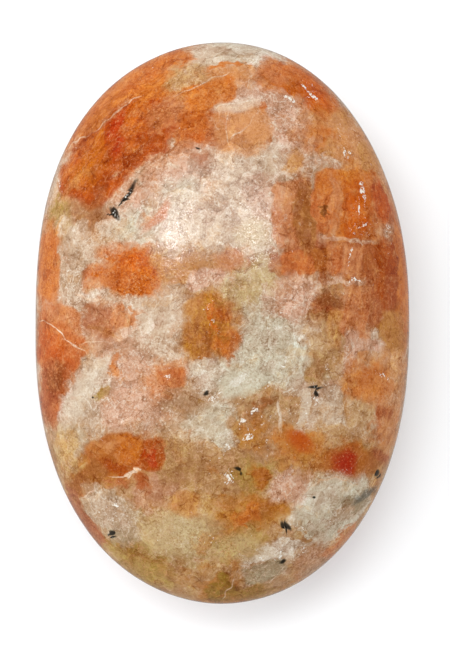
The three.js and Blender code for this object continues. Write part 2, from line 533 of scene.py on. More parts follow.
# The crystals, each laid over those before it.
# name: middle and reach in mm, turn in degrees, shade, blur, share, square or round
CRYSTALS = {
    # Rear left
    "rear edge beige": ((-1.4, 31.4), (2.8, 1.2), 5, CREAM, 0.6, 0.92, False),
    "rear edge cream": ((3.8, 31.2), (3.6, 1.3), -16, MILK, 0.6, 0.9, False),
    "left rim orange": ((-7, 30.5), (3, 1.0), 27, APRICOT, 0.5, 0.9, False),
    "left rim bright": ((-10.9, 27.1), (2.6, 1.1), 36, APRICOT, 0.6, 0.72, False),
    "left rim amber": ((-14.8, 23.5), (3.6, 1.0), 47, AMBER, 0.7, 0.7, False),
    "slab": ((-12.2, 19.9), (7.6, 3.3), 42, COPPER, 0.4, 1, True),
    "slab shoulder": ((-9.6, 23.8), (2.0, 1.6), 30, ORANGE, 0.4, 0.92, True),
    "slab red": ((-12.3, 21.7), (2.9, 0.8), 78, RED, 0.6, 0.95, False),
    "slab amber": ((-15.6, 17.6), (3, 2), 45, AMBER, 0.8, 0.82, False),
    "slab dark end": ((-15.8, 20.9), (1.8, 0.75), 40, RUST, 0.4, 0.97, True),
    "slab facet": ((-14.3, 21.2), (1.5, 0.5), 80, AMBER, 0.5, 0.82, True),
    "slab peach": ((-16.6, 16.4), (2.0, 0.6), 48, HONEY, 0.9, 0.6, False),
    "slab middle": ((-10.8, 21.6), (1.6, 1.3), 40, ORANGE, 0.8, 0.72, False),
    "slab lower": ((-11.3, 18.2), (5.2, 1.1), 42, RUST, 0.7, 0.82, False),
    "slab tip": ((-14.9, 14.9), (1.5, 0.8), 42, RUST, 0.7, 0.95, False),
    "slab streak": ((-8.2, 21.6), (2.4, 0.7), 42, RUST, 0.8, 0.72, False),
    "slab border": ((-8.4, 16.8), (6.4, 1.5), 42, SALMON, 0.95, 0.7, False),
    "slab haze": ((-7.4, 16.2), (6, 1.6), 42, BLUSH, 0.95, 0.7, False),
    "orange by the crack": ((-7.6, 27.3), (2.1, 1.4), 35, APRICOT, 0.6, 0.92, False),
    "rear salmon": ((-6.6, 24), (2.2, 1.5), 35, SALMON, 0.7, 0.82, True),
    "rear tan": ((-4.2, 28.4), (2.3, 1.6), 20, SAND, 0.7, 0.8, False),
    "parallelogram": ((-1.6, 26.4), (3.2, 1.8), 24, APRICOT, 0.3, 0.9, True),
    "parallelogram cap": ((-0.4, 29.7), (1.8, 0.5), 12, APRICOT, 0.5, 0.92, False),
    "lower rear orange": ((-3.2, 22.5), (1.7, 1.7), 5, ORANGE, 0.4, 0.72, True),
    "lower rear shadow": ((-2.7, 23.7), (1.5, 0.4), 15, RUST, 0.6, 0.72, False),
    "pink by the speck": ((-2.7, 19.2), (0.9, 0.5), 10, BRICK, 0.7, 0.6, False),
    "left green spot": ((-18.9, 13.2), (0.6, 1.1), 20, OLIVE, 0.6, 0.97, False),
    "left brown haze": ((-15.6, 12.8), (1.4, 1.4), 0, BROWN, 0.9, 0.72, False),
    "orange thorn": ((-7.4, 12.6), (2.5, 0.8), 48, BLUSH, 0.9, 0.7, False),
    "orange thorn heart": ((-8.2, 11.9), (1, 0.4), 45, PEACH, 0.9, 0.5, False),
    # Rear right
    "rear right crystal": ((8.7, 27.4), (4.9, 1.6), -36, ORANGE, 0.6, 0.97, True),
    "rear right core": ((10.6, 26), (1.9, 1.2), -40, BRIGHT, 0.8, 0.82, False),
    "rear right head": ((5.8, 28.9), (1.6, 1.2), -30, SALMON, 0.6, 0.82, False),
    "rear right rim": ((10.4, 29), (4, 0.8), -37, SALMON, 0.5, 0.92, False),
    "speckled blush": ((7.4, 24.4), (3.0, 2.0), -25, BLUSH, 0.6, 0.92, False),
    "right orange": ((14.4, 23.8), (1.6, 1.2), -45, HONEY, 0.9, 0.72, False),
    "orange brown": ((11.5, 21.8), (1.6, 1.0), -15, APRICOT, 0.9, 0.72, False),
    "orange brown foot": ((12.3, 20.3), (0.8, 0.8), 0, HONEY, 0.8, 0.72, False),
    "pale olive": ((14.2, 20.6), (1.5, 1.2), -30, PEACH, 0.8, 0.82, False),
    "tan right": ((17, 19.1), (1.7, 1.1), -62, HONEY, 0.7, 0.92, True),
    "right amber": ((17.4, 17.3), (0.7, 0.6), 0, AMBER, 0.6, 0.92, False),
    "orange dot": ((8.4, 18.7), (1.4, 1.3), 0, HONEY, 0.9, 0.92, False),
    "cleavage salmon": ((2.2, 22.4), (2.8, 3.0), 8, PEACH, 0.5, 0.8, True),
    "cleavage dot": ((4.8, 24.7), (0.5, 0.4), 0, ORANGE, 0.5, 0.82, False),
    "cleavage red": ((5, 20.8), (0.5, 0.6), 0, BRICK, 0.7, 0.72, False),
    # Right
    "right square": ((8.1, 12.7), (2.4, 3.7), 1, SALMON, 0.3, 0.82, True),
    "right square dark": ((9.4, 12.5), (1.2, 3.3), 2, BROWN, 0.9, 0.82, True),
    "right square edge": ((10.1, 13.2), (0.5, 2.6), 2, BROWN, 0.8, 0.72, True),
    "right block": ((11.7, 14), (1.2, 3.5), 1, CORAL, 0.4, 0.92, True),
    "right block heart": ((11.6, 15.8), (0.9, 1.4), 0, APRICOT, 0.7, 0.7, True),
    "right column": ((15.3, 13.6), (1.8, 3.6), -2, ORANGE, 0.3, 0.97, True),
    "right column cap": ((14.2, 17), (3.4, 0.8), -3, APRICOT, 0.6, 0.82, True),
    "right column glow": ((15.2, 13), (1.5, 2.6), -3, BRIGHT, 0.8, 0.72, False),
    "pink column": ((12.9, 13.8), (0.5, 3), 1, SALMON, 0.7, 0.92, True),
    "dark triangle": ((11.8, 13.3), (0.5, 0.4), 0, UMBER, 0.4, 0.97, False),
    "rust leaf": ((18.5, 14.2), (2.5, 0.8), -70, COPPER, 0.3, 0.95, True),
    "square foot": ((8.8, 6.9), (2.1, 1.6), -2, CORAL, 0.3, 0.97, True),
    "square foot dark": ((9.9, 9.2), (0.9, 1.8), 2, BROWN, 0.8, 0.72, True),
    "orange brick": ((11.2, 7.1), (0.9, 1.5), -2, BRONZE, 0.5, 0.92, True),
    "pink bar": ((14.6, 9.7), (3.6, 0.3), -2, BLUSH, 0.6, 0.6, True),
    "salmon brick": ((15.2, 7.1), (3.1, 1.9), -2, SALMON, 0.3, 0.92, True),
    "salmon brick streak": ((13.1, 7), (0.5, 1.6), 2, CORAL, 0.6, 0.82, True),
    "glint row": ((13.9, 4.6), (2.6, 0.35), -3, BLUSH, 0.7, 0.7, True),
    "brown column": ((17.5, 4.6), (1, 4.4), 3, BRICK, 0.8, 0.92, True),
    "deep block": ((19.2, 5.6), (1, 4.2), 3, RUST, 0.4, 1, True),
    "deep core": ((19.3, 3.4), (0.8, 1.8), 3, BRICK, 0.8, 0.6, False),
    "right rim orange": ((21, 6.3), (0.7, 4.6), 3, APRICOT, 0.6, 0.92, True),
    "lilac haze": ((8.5, 2.9), (2.4, 2.3), 0, BLUSH, 0.6, 0.92, False),
    "red brown eye": ((12.1, 2.4), (1.6, 0.9), -4, BRICK, 0.9, 0.9, False),
    "salmon column": ((15.3, 1), (1.5, 3.0), -12, SALMON, 0.4, 0.97, True),
    "brown by the column": ((12.9, -0.8), (0.8, 2.3), -8, HONEY, 0.8, 0.72, True),
    "golden block": ((19.9, -0.9), (1.3, 2.1), 0, HONEY, 0.5, 0.92, True),
    "golden block glow": ((20, -1.2), (0.9, 1.4), 0, GOLD, 0.8, 0.5, False),
    "misty column": ((14.6, -3), (0.8, 2.4), -14, BLUSH, 0.6, 0.92, True),
    "misty bar": ((17.2, -2.6), (2, 0.7), -6, BLUSH, 0.6, 0.92, True),
    "right front peach block": ((20.2, -4.6), (1.6, 1.6), 0, PEACH, 0.7, 0.82, True),
    "olive brown": ((10.9, -5.4), (1.2, 2.0), -12, TAN, 0.7, 0.92, True),
    "tan by the olive": ((13, -5.2), (0.8, 1.6), 0, SAND, 0.8, 0.72, True),
    "tan above": ((10.8, -2.1), (2, 1.5), 0, SAND, 0.8, 0.72, False),
    "right front orange": ((17, -7), (3, 2.2), -10, APRICOT, 0.9, 0.72, False),
    # Middle
    "grainy crystal": ((-10.2, 6), (3.0, 2.4), -12, ORANGE, 0.35, 0.97, False),
    "grainy crystal base": ((-10.4, 4.9), (3, 1.3), 0, ORANGE, 0.5, 0.8, True),
    "grainy crystal glow": ((-10, 6.8), (1.6, 1.2), 0, BRIGHT, 0.9, 0.72, False),
    "grainy extension": ((-14.3, 5), (1.7, 1.5), 10, CORAL, 0.8, 0.82, True),
    "grainy red": ((-14.6, 6), (0.6, 0.5), 0, ORANGE, 0.6, 0.92, False),
    "tan brown": ((-5.8, 6.2), (2, 1.6), 0, HONEY, 0.8, 0.82, True),
    "olive lump": ((-2.9, 7.2), (2, 1.2), 0, GOLD, 0.8, 0.6, False),
    "lilac patch": ((-1.9, 5.1), (2.1, 1.1), 6, BLUSH, 0.3, 0.97, True),
    "amber crystal": ((-1.9, -0.6), (2.5, 3.8), 2, GOLD, 0.5, 0.88, True),
    "amber crystal left": ((-3.0, 0.4), (0.9, 2.6), 2, HONEY, 0.8, 0.6, True),
    "amber crystal dark": ((-1.6, -3.2), (0.8, 1.5), 3, BROWN, 0.8, 0.72, True),
    "amber crystal right": ((0.8, -2.4), (1.4, 1.6), 0, APRICOT, 0.8, 0.82, False),
    "amber crystal streak": ((-1.1, 1), (0.35, 1.8), 2, BRIGHT, 0.9, 0.6, False),
    "amber crystal head": ((0.2, 1.6), (0.8, 1.2), 0, COPPER, 0.7, 0.5, False),
    "middle salmon": ((0.9, 7.3), (1.8, 1.3), 10, SALMON, 0.7, 0.72, False),
    "left brown": ((-14.2, 0.2), (2, 2.0), 0, BRICK, 0.9, 0.6, False),
    "left brown core": ((-13.9, -0.7), (1.3, 0.9), 0, BROWN, 0.8, 0.72, False),
    "left orange": ((-10.9, 0.5), (1.4, 1.6), 0, SALMON, 0.5, 0.92, False),
    "left strip": ((-20.1, 7), (1.1, 4.0), 3, APRICOT, 0.6, 0.82, True),
    "left strip knot": ((-20.1, 5.3), (0.6, 0.8), 0, RUST, 0.8, 0.72, False),
    "left salmon": ((-18.2, 0.5), (2.0, 1.3), -15, SALMON, 0.5, 0.97, True),
    "left patch": ((-19, -3.2), (2.7, 2.8), -35, CORAL, 0.35, 0.95, True),
    "left patch shade": ((-18.6, -4.6), (1.6, 1.8), -20, COPPER, 0.9, 0.72, False),
    "left patch heart": ((-20, -2.4), (1.3, 1.7), -20, BRIGHT, 0.9, 0.6, False),
    "left patch foot": ((-19.6, -8.2), (1.8, 3.6), -12, BRICK, 0.8, 0.95, True),
    "left patch dark": ((-19.2, -6.6), (1.2, 1.8), -25, UMBER, 0.9, 0.6, False),
    "left milk": ((-16, -7.9), (4.6, 1.4), 58, MILK, 0.7, 0.92, False),
    "middle cream": ((-7.4, 0.2), (2.5, 2.2), 20, CREAM, 0.7, 0.92, False),
    "small orange": ((-12.1, -5.2), (0.8, 1.3), 10, APRICOT, 0.9, 0.82, False),
    "orange heart": ((-6, -5.9), (1.7, 1.2), -5, CORAL, 0.95, 0.82, True),
    "olive grain": ((-13.7, -7.8), (0.8, 0.8), 0, OLIVE, 0.4, 0.97, False),
    "left peach": ((-11.4, -9.2), (2.3, 2.3), 0, BLUSH, 0.9, 0.82, False),
    "olive brown middle": ((-4.2, -9.1), (2.4, 1.2), 0, DUSK, 0.9, 0.92, False),
    "olive edge": ((-2.6, -8.7), (0.8, 0.4), 0, MOSS, 0.6, 0.82, False),
    "milky middle": ((-1.4, -6), (2.2, 1.6), 0, MILK, 0.6, 0.82, False),
    "misty middle": ((-1.9, -11.3), (2.4, 1.8), 0, SILVER, 0.8, 0.82, False),
    "olive tan middle": ((2.8, 3.8), (2.8, 1.8), 20, STRAW, 0.8, 0.4, False),
    "milky right": ((6.3, -4), (3.1, 3.1), 0, PEARL, 0.6, 0.82, False),
    "lens": ((2.5, -6.7), (3, 1.9), 12, GREY, 0.5, 0.7, False),
    "lens shade": ((4, -7.9), (1.8, 0.5), 28, GREY, 0.8, 0.72, False),
    "lens glow": ((1.4, -6.7), (1, 0.7), 30, PEARL, 0.9, 0.5, False),
    "glassy tan": ((3.7, -10.2), (2.9, 2.6), 5, TAN, 0.5, 0.82, True),
    "glassy dark": ((4.6, -9.6), (1.5, 0.5), 60, BROWN, 0.9, 0.72, False),
    "glassy white foot": ((0.4, -13.4), (1.4, 0.9), 0, PEARL, 0.9, 0.6, False),
    "glassy white": ((-0.2, -10.6), (1.4, 1), 20, PEARL, 0.9, 0.72, False),
    "glassy dark foot": ((3.2, -12.6), (1.9, 1.6), 10, GOLD, 0.8, 0.82, False),
    "white strip": ((9.6, -10), (0.8, 2.5), -2, TAN, 0.5, 0.7, True),
    "white strip left": ((6.6, -10.2), (0.5, 2.5), 0, TAN, 0.5, 0.7, True),
    "cream by the strip": ((12.8, -9.5), (1.2, 1.9), 0, CREAM, 0.5, 0.92, True),
    "tan by the strip": ((7.9, -10.2), (1.2, 1.9), 0, TAN, 0.5, 0.92, True),
    "ring spot": ((18.4, -11), (1.1, 0.9), 0, BRICK, 0.8, 0.92, False),
    # Front left
    "amber teardrop": ((-18.2, -14.6), (1.4, 2.3), 22, LEMON, 0.8, 0.97, False),
    "amber tip": ((-17.4, -16.6), (0.9, 1.2), 35, LEMON, 0.7, 0.82, False),
    "front crystal": ((-12.6, -15.2), (3.1, 2.2), 8, BRONZE, 0.4, 0.95, True),
    "front crystal glow": ((-10.8, -14.6), (1.6, 1.6), 2, AMBER, 0.7, 0.82, True),
    "front crystal top": ((-13.6, -13.7), (2, 0.7), 14, PEACH, 0.9, 0.6, False),
    "front crystal floor": ((-12.3, -16.6), (2.6, 0.7), -4, RUST, 0.8, 0.92, False),
    "front red": ((-8.1, -14.8), (1.3, 1.9), -5, RUST, 0.5, 0.95, True),
    "front red core": ((-8.2, -15.2), (0.8, 1), 0, RED, 0.9, 0.82, False),
    "front brown": ((-5.5, -14.8), (1.2, 1.5), 0, TAN, 0.9, 0.82, True),
    "front left strip": ((-15.8, -17.9), (2.7, 1.4), 45, BROWN, 0.5, 0.92, True),
    "front left tip": ((-16.6, -19.6), (1.1, 0.5), 30, BROWN, 0.6, 0.82, False),
    "chip": ((-10.3, -17.3), (0.9, 0.35), 14, FLAW, 0.5, 0.92, False),
    "under the chip": ((-12.3, -18.3), (1.6, 0.8), 15, BRICK, 0.6, 0.82, False),
    "rust by the chip": ((-9.2, -18.4), (0.7, 0.9), 0, RUST, 0.7, 0.82, False),
    "pebbly": ((-13.2, -21.6), (3.3, 2), -32, CREAM, 0.8, 0.92, False),
    "front rim brick": ((-15.9, -23.6), (3.4, 0.8), -52, CLAY, 0.5, 0.95, True),
    "front rim pink": ((-17.7, -20.3), (1.3, 0.8), -60, CLAY, 0.6, 0.92, False),
    "green grey": ((-11.8, -24.8), (1.8, 1.2), -30, GREY, 0.9, 0.72, False),
    "olive spot": ((-10.4, -26.9), (0.6, 1.1), 0, MOSS, 0.6, 0.82, False),
    "small olive": ((-7.1, -27.2), (0.5, 0.7), 0, MOSS, 0.7, 0.82, False),
    "golden": ((-3.9, -20.7), (1.7, 1.5), 0, HONEY, 0.8, 0.92, True),
    "cracked brown": ((-2, -24.9), (1.3, 1.1), 0, GOLD, 0.7, 0.92, False),
    "front triangle": ((-0.3, -31), (1.5, 1.3), 30, MOSS, 0.5, 0.97, True),
    # Front right
    "front rust": ((8.8, -13.9), (2.7, 1.4), -14, APRICOT, 0.9, 0.72, False),
    "front rust heart": ((8.7, -13.8), (1.5, 0.8), -25, COPPER, 0.9, 0.6, False),
    "front rust apron": ((8.2, -15.6), (2.2, 0.8), -5, HONEY, 0.9, 0.72, False),
    "front rust cap": ((10.9, -13), (1.0, 1.0), 0, HONEY, 0.8, 0.72, False),
    "front right crystal": ((14.6, -16), (3.2, 1.9), -8, BRONZE, 0.5, 0.97, False),
    "front right shade": ((16.4, -16.4), (1.5, 1.4), 0, BROWN, 0.8, 0.82, False),
    "crimson heart": ((14.2, -15.6), (1.9, 1.4), -40, RUST, 0.9, 0.7, False),
    "crimson spark": ((14.8, -17), (1, 0.7), -50, RUST, 0.8, 0.7, False),
    "front right rust": ((18.3, -15.9), (0.8, 1.0), 0, BRICK, 0.7, 0.82, False),
    "beige plate": ((12.9, -21.2), (4.4, 3.2), 35, PEARL, 0.35, 0.6, True),
    "slate smear": ((15.4, -20.8), (2.2, 0.9), 25, GREY, 0.9, 0.9, False),
    "slate haze": ((15.3, -20.9), (1.6, 0.9), 20, GREY, 0.9, 0.82, False),
    "plate shade": ((13.6, -22.6), (2, 0.8), 25, DUSK, 0.9, 0.72, False),
    "tan lens": ((8.8, -25), (1.7, 1.0), 10, TAN, 0.4, 0.95, False),
    "crumbly band": ((6.5, -26.6), (3.6, 0.9), 20, MILK, 0.5, 0.92, False),
    "grey crystal": ((4.8, -28.9), (2.2, 1.2), 28, GREY, 0.4, 0.92, True),
    "front right rim": ((13.6, -25.8), (3.1, 0.75), 47, SALMON, 0.6, 0.95, False),
    "front lilac": ((10.8, -28.2), (2.0, 1.0), 25, DUSK, 0.6, 0.82, False),
    "golden brown": ((4.3, -17.4), (1.3, 1.7), 0, GOLD, 0.5, 1, False),
    "golden brown heart": ((4.4, -17.4), (0.9, 1.3), 0, BRONZE, 0.9, 0.72, False),
    "pink cracked": ((7.3, -19), (2.0, 1.9), 20, BLUSH, 0.6, 0.92, False),
    "bright spot": ((2.6, -22.2), (1.4, 1.0), 20, APRICOT, 0.9, 0.82, False),
    "front rust bar": ((6.2, -21.6), (1.6, 0.9), -5, GOLD, 0.9, 0.82, False),
    "bottom olive": ((2, -31.6), (4, 1.1), 6, MOSS, 0.8, 0.85, False),
}

FRAYED = {True: 1, False: 2}  # of a block and a round lump of 1 mm: a larger one is frayed less
MOST_FRAYED = 3
SOFTENED = 1.3  # every crystal's blur is made larger by this
MOST_BLURRED = 0.95

for middle, reach, turn, shade, blur, share, square in CRYSTALS.values():
    place = block_place if square else lump_place
    fray = min(MOST_FRAYED, FRAYED[square] / math.sqrt(reach[0] * reach[1]))
    blur = min(MOST_BLURRED, SOFTENED * blur)
    colour = lay(colour, place, middle, reach, turn, shade, blur, share, square, fray)

# Healed cracks and pale edges of crystals, as runs of points and a half width, in mm
CRACKS = {
    "slab crack": (((-19.1, 19.7), (-15, 22.3), (-13.2, 23.8), (-11.5, 25.2), (-9.1, 26.5)), 0.08),
    "parallelogram top": (((-4.8, 26.4), (-0.8, 28.8), (0.6, 29.2)), 0.08),
    "cleavage top": (((-0.7, 24.4), (0.3, 25.3), (2.5, 25.4), (4.7, 25.7)), 0.09),
    "cleavage left": (((0.9, 24.0), (0.6, 20.5)), 0.08),
    "cleavage right": (((4.4, 24.2), (1.1, 21.0)), 0.09),
    "cleavage far": (((4.6, 24.1), (6.6, 21.8)), 0.09),
    "left crack": (((-21.6, 0.1), (-21, 0.3), (-19.5, -0.4), (-18.1, -1.6), (-16.2, -3.2)), 0.08),
    "brown foot": (((-16.6, -2.1), (-13.8, -1.8)), 0.08),
    "white outline": (((-16.6, 3.4), (-15.2, 2.8), (-13.4, 2.7)), 0.14),
    "strip line": (((6.6, -9.4), (6.7, -12.2)), 0.08),
    "chip line": (((-13, -17.4), (-11.2, -17.5)), 0.06),
    "front left crack": (((-16.3, -20.2), (-14.4, -18.9)), 0.11),
    "plate edge": (((8.8, -20.8), (10, -18.7), (11.5, -17.8), (13.2, -17.7)), 0.09),
    "plate corner": (((13.2, -17.7), (14.4, -18.2), (15.1, -18.9)), 0.09),
    "pink line": (((14.4, -17.4), (16.3, -15.4)), 0.06),
    "fracture": (((8.5, -23.4), (10.2, -24.2)), 0.12),
    "bottom crack": (((5.5, -30.2), (6.9, -28.1)), 0.08),
    "triangle side": (((1.2, -30), (0, -32)), 0.08),
}
CRACK_BLUR = 0.9
CRACK_SHARE = 0.7
CRACK_FRAY = 1

for points, half_width_of_crack in CRACKS.values():
    for (x1, y1), (x2, y2) in zip(points, points[1:]):
        middle = (x1 + x2) / 2, (y1 + y2) / 2
        reach = math.hypot(x2 - x1, y2 - y1) / 2 + half_width_of_crack, half_width_of_crack
        turn = math.degrees(math.atan2(y2 - y1, x2 - x1))
        colour = lay(
            colour, crack_place, middle, reach, turn, FLAW, CRACK_BLUR, CRACK_SHARE, False, CRACK_FRAY
        )

# The grain that runs through all of it: stain, haze, angular grains and their seams
VEIL_SIZE = 1.9  # mm
STAIN_SIZE = 2.2  # mm
MOTTLE_SIZE = 0.7  # mm
WARMTH_SIZE = 2.8  # mm, of patches that are redder or yellower


def channel(source, name):
    """The red, green or blue part of a colour, or one of the three random values of each grain."""
    return add(tree, "ShaderNodeSeparateColor", None, {0: source}, name)


milkiness = step(channel(colour, "Blue"), 0.02, 0.18)  # 0 in clear orange crystals, 1 in milky ones
deeper = mix(milkiness, DEEPER, DULLER)  # what stain does here
paler = mix(milkiness, WARMER, PALER)  # what haze does here
line_shade = mix(milkiness, PEACH, FROST)  # what a pale line or grain looks like here
veil = noise_at(crisp, VEIL_SIZE, 4, 0.7)
colour = mix(step(veil, 0.52, 0.66, 0, 0.6), colour, broad)
stain = noise_at(ragged, STAIN_SIZE, 5, 0.72, 0.3)
colour = tint(step(stain, 0.48, 0.34, 0, 0.5), deeper)
mottle = noise_at(crisp, MOTTLE_SIZE, 3, 0.7)
colour = tint(step(mottle, 0.46, 0.3, 0, 0.4), deeper)
colour = mix(step(mottle, 0.54, 0.72, 0, 0.45), colour, line_shade)
colour = tint(step(stain, 0.54, 0.7, 0, 0.4), paler)
warmth = noise_at(ragged, WARMTH_SIZE, 4, 0.65)
colour = tint(step(warmth, 0.52, 0.64, 0, 0.6), REDDER)
colour = tint(step(warmth, 0.48, 0.36, 0, 0.7), mix(milkiness, YELLOWER, ROSIER))
colour = mix(step(haze, 0.54, 0.74, 0, 0.4), colour, line_shade)


def drawn_out(place, turn, length):
    """A place whose patterns are drawn out along a turn in plan, by a length of so many times."""
    inputs = {"Vector": place, "Rotation": (0, 0, math.radians(turn)), "Scale": (length, 1, 1)}
    return add(tree, "ShaderNodeMapping", {"vector_type": "TEXTURE"}, inputs)


def faces_at(place, size):
    """Light and dark across each of the grains about size mm across, as on faces of crystals."""
    cells = cells_at(place, size)
    away = vector_sum("SUBTRACT", place, cells.output("Position"))
    slope = vector_sum("SUBTRACT", cells, (0.5, 0.5, 0.5))
    across = {0: away, 1: slope}
    return 1 / size * add(tree, "ShaderNodeVectorMath", {"operation": "DOT_PRODUCT"}, across, "Value")


# The faces of large, middling and small grains: size in mm, turn, how drawn out, darkest, palest
FACES = (4.2, 40, 1.5, 0.6, 0.6), (2, 60, 1.6, 0.5, 0.6), (0.9, 80, 1.7, 0.35, 0.5)

facing = 0.6 + 0.2 * milkiness  # faces show a little more in milky places
for size, turn, length, darkest, palest in FACES:
    faces = faces_at(drawn_out(straight, turn, length), size)
    colour = tint(step(faces, -0.03, -0.22, 0, darkest) * facing, deeper)
    colour = tint(step(faces, 0.03, 0.22, 0, palest) * facing, paler)

# Fine streaks along the cleavage: on the slant at the rear left, lengthwise on the right and
# in the amber crystal
FIBRE_SIZE = 0.6  # mm across
left_fibres = noise_at(drawn_out(straight, 44, 7), FIBRE_SIZE, 4, 0.6)
right_fibres = noise_at(drawn_out(straight, 89, 9), FIBRE_SIZE, 4, 0.6)
left_zone = inside(lump_place, (-11, 22), (12, 7), 42, 0.9)
right_zone = inside(lump_place, (13, 5), (9, 14), 0, 0.9)
right_zone = right_zone + inside(lump_place, (-1.2, -0.6), (3.4, 4.6), 0, 0.8)
fibres = 0.5 + (left_fibres - 0.5) * left_zone + (right_fibres - 0.5) * right_zone
colour = tint(step(fibres, 0.49, 0.38, 0, 0.6), deeper)
colour = tint(step(fibres, 0.52, 0.64, 0, 0.8), paler)


def ridge(cloud, reach, share):
    """Feathery lines along the middle level of a cloud."""
    return step(cloud.maths("ABSOLUTE", cloud - 0.5), reach, 0, 0, share)


PATCHY_SIZE = 2.1  # mm, of the places that have wisps and of those that have crevices
WISP_SIZE = 2.2  # mm
CREVICE_SIZE = 1.9  # mm
BREAK_SIZE = 1.4  # mm, of the stretches in which a seam shows pale or dark
# The seams between grains: size of the grains in mm, turn, how drawn out, half width in mm
SEAMS = (2, 60, 1.6, 0.09), (0.9, 80, 1.7, 0.06)

patchy = noise_at(in_mm, PATCHY_SIZE, 3, 0.6)
wisps = noise_at(drawn_out(crisp, 55, 2), WISP_SIZE, 5, 0.62)
webbing = 0.5 + 0.25 * milkiness  # pale lines show more in milky places
colour = mix(ridge(wisps, 0.018, 0.5) * step(patchy, 0.5, 0.62) * webbing, colour, line_shade)
crevices = noise_at(ragged, CREVICE_SIZE, 5, 0.68)
colour = tint(ridge(crevices, 0.024, 0.8) * step(patchy, 0.54, 0.42), deeper)
breaks = noise_at(in_mm, BREAK_SIZE, 3, 0.5)
for size, turn, length, half_width_of_seam in SEAMS:
    web = size * cells_at(drawn_out(straight, turn, length), size, "DISTANCE_TO_EDGE", "Distance")
    lines = step(web, half_width_of_seam, 0)
    colour = mix(lines * step(breaks, 0.5, 0.62, 0, 0.55) * webbing, colour, line_shade)
    colour = tint(lines * step(breaks, 0.48, 0.38, 0, 0.9), deeper)

# Clear grains of one even colour, and one painted sheen, each with the same values as a crystal
CLEAR_FRAY = 0.8
CLEAR_GRAINS = {
    "lens": ((2.3, -6.6), (2.7, 1.6), 14, PEARL, 0.5, 0.75, False),
    "lens glow": ((2, -6.1), (1.3, 0.5), 25, GLASS, 0.9, 0.45, False),
    "white strip": ((9.6, -9.8), (0.6, 2.3), -3, FROST, 0.8, 0.5, True),
    "white strip left": ((6.7, -10.9), (0.25, 1.6), 2, FROST, 0.8, 0.4, True),
    "left milk": ((-16.2, -7.8), (4.2, 1.2), 60, MILK, 0.9, 0.5, False),
    "thorn": ((-7.6, 12.2), (2, 0.5), 52, ORANGE, 0.9, 0.6, False),
    # a painted sheen: a straw tone where the right window's highlight falls
    "painted olive sheen": ((3.4, 10.6), (1.9, 1.6), 0, STRAW, 0.9, 0.6, False),
    "cleavage white": ((2.1, 25), (2.6, 0.9), 10, FROST, 0.9, 0.5, False),
    "chaff": ((-5.2, -24.2), (4.2, 2.4), 0, CHAFF, 0.9, 0.5, False),
    "chaff by the plate": ((1.6, -26.2), (3.4, 1.4), 8, CHAFF, 0.9, 0.4, False),
    "tan band": ((-3.4, 6.9), (4.2, 1), 4, GOLD, 0.9, 0.45, False),
    "tan band end": ((1, 7.4), (1.6, 0.9), 8, BRONZE, 0.9, 0.4, False),
    "cleavage facet": ((4, 22.6), (1.7, 1.6), 20, PEACH, 0.6, 0.6, True),
    "round the heart": ((9, -13.9), (3.2, 1.6), -12, GOLD, 0.9, 0.5, False),
    "heart": ((8.9, -13.6), (1.7, 0.9), -18, COPPER, 0.9, 0.85, False),
    "round the crimson": ((14.7, -16.1), (3.4, 1.8), -8, BRONZE, 0.9, 0.75, False),
    "crimson": ((14.1, -16), (1.6, 1.2), -35, CRIMSON, 0.9, 0.9, False),
    "eye": ((12.2, 2.3), (1.6, 0.8), -4, UMBER, 0.9, 0.7, False),
    "grey crystal": ((4.8, -28.9), (2.1, 1.1), 28, GREY, 0.9, 0.45, False),
    "slate": ((16.3, -20.3), (1.9, 0.5), 28, SLATE, 0.9, 0.8, False),
}
for middle, reach, turn, shade, blur, share, square in CLEAR_GRAINS.values():
    colour = lay(colour, crack_place, middle, reach, turn, shade, blur, share, square, CLEAR_FRAY)

# The finest grain, livelier in some places than in others, and most in the grainy crystal
LIVELY_SIZE = 4  # mm
FLAKE_SIZE = 0.15  # mm
GRAIN_SIZE = 0.3  # mm
lively = step(noise_at(ragged, LIVELY_SIZE, 3, 0.6), 0.38, 0.62, 0.4, 0.9)
lively = lively + 0.6 * inside(lump_place, (-10.6, 6), (4, 2.6), 0, 0.8)
flakes = cells_at(in_mm, FLAKE_SIZE)
colour = tint(step(channel(flakes, "Red"), 0.6, 0, 0, 0.8) * lively, deeper)
colour = tint(step(channel(flakes, "Green"), 0.4, 1, 0, 0.8) * lively, paler)
grain = noise_at(in_mm, GRAIN_SIZE, 2, 0.7)
colour = tint(step(grain, 0.46, 0.3, 0, 0.9) * lively, deeper)
colour = mix(step(grain, 0.54, 0.72, 0, 0.7) * lively, colour, line_shade)

# Dark specks of hornblende. name: middle and reach in mm, turn in degrees
SPECKS = {
    "leaf": ((-10.9, 15), (1.15, 0.4), 52),
    "leaf tail": ((-11.8, 14.0), (0.6, 0.12), 35),
    "leaf arm": ((-11.1, 14.3), (0.5, 0.13), -10),
    "beetle": ((-12.4, 12.9), (1.05, 0.42), -45),
    "beetle arm": ((-12.9, 12.5), (0.6, 0.12), 30),
    "tick": ((-2.5, 19.8), (0.32, 0.12), 0),
    "bar": ((10.6, -7.6), (1.1, 0.2), -8),
    "bar tail": ((10.9, -8.3), (0.2, 0.5), 0),
    "seed": ((-1.8, -7.9), (0.35, 0.3), 20),
    "dot": ((10.7, -20.4), (0.2, 0.2), 0),
    "wedge": ((7.7, -23.4), (0.65, 0.3), -52),
    "wedge arm": ((7.5, -23.8), (0.5, 0.1), 80),
    "smear": ((6.5, -27.6), (0.6, 0.3), 20),
    "fly": ((1.6, -17.1), (0.55, 0.25), -5),
    "left smear": ((-12.9, -24.3), (0.5, 0.15), -10),
    "left dot": ((-14.7, -8.6), (0.15, 0.15), 0),
    "right dot": ((17.9, -17.7), (0.3, 0.3), 0),
}
SPECK_BLUR = 0.7
SPECK_SHARE = 0.95
SPECK_FRAY = 0.9

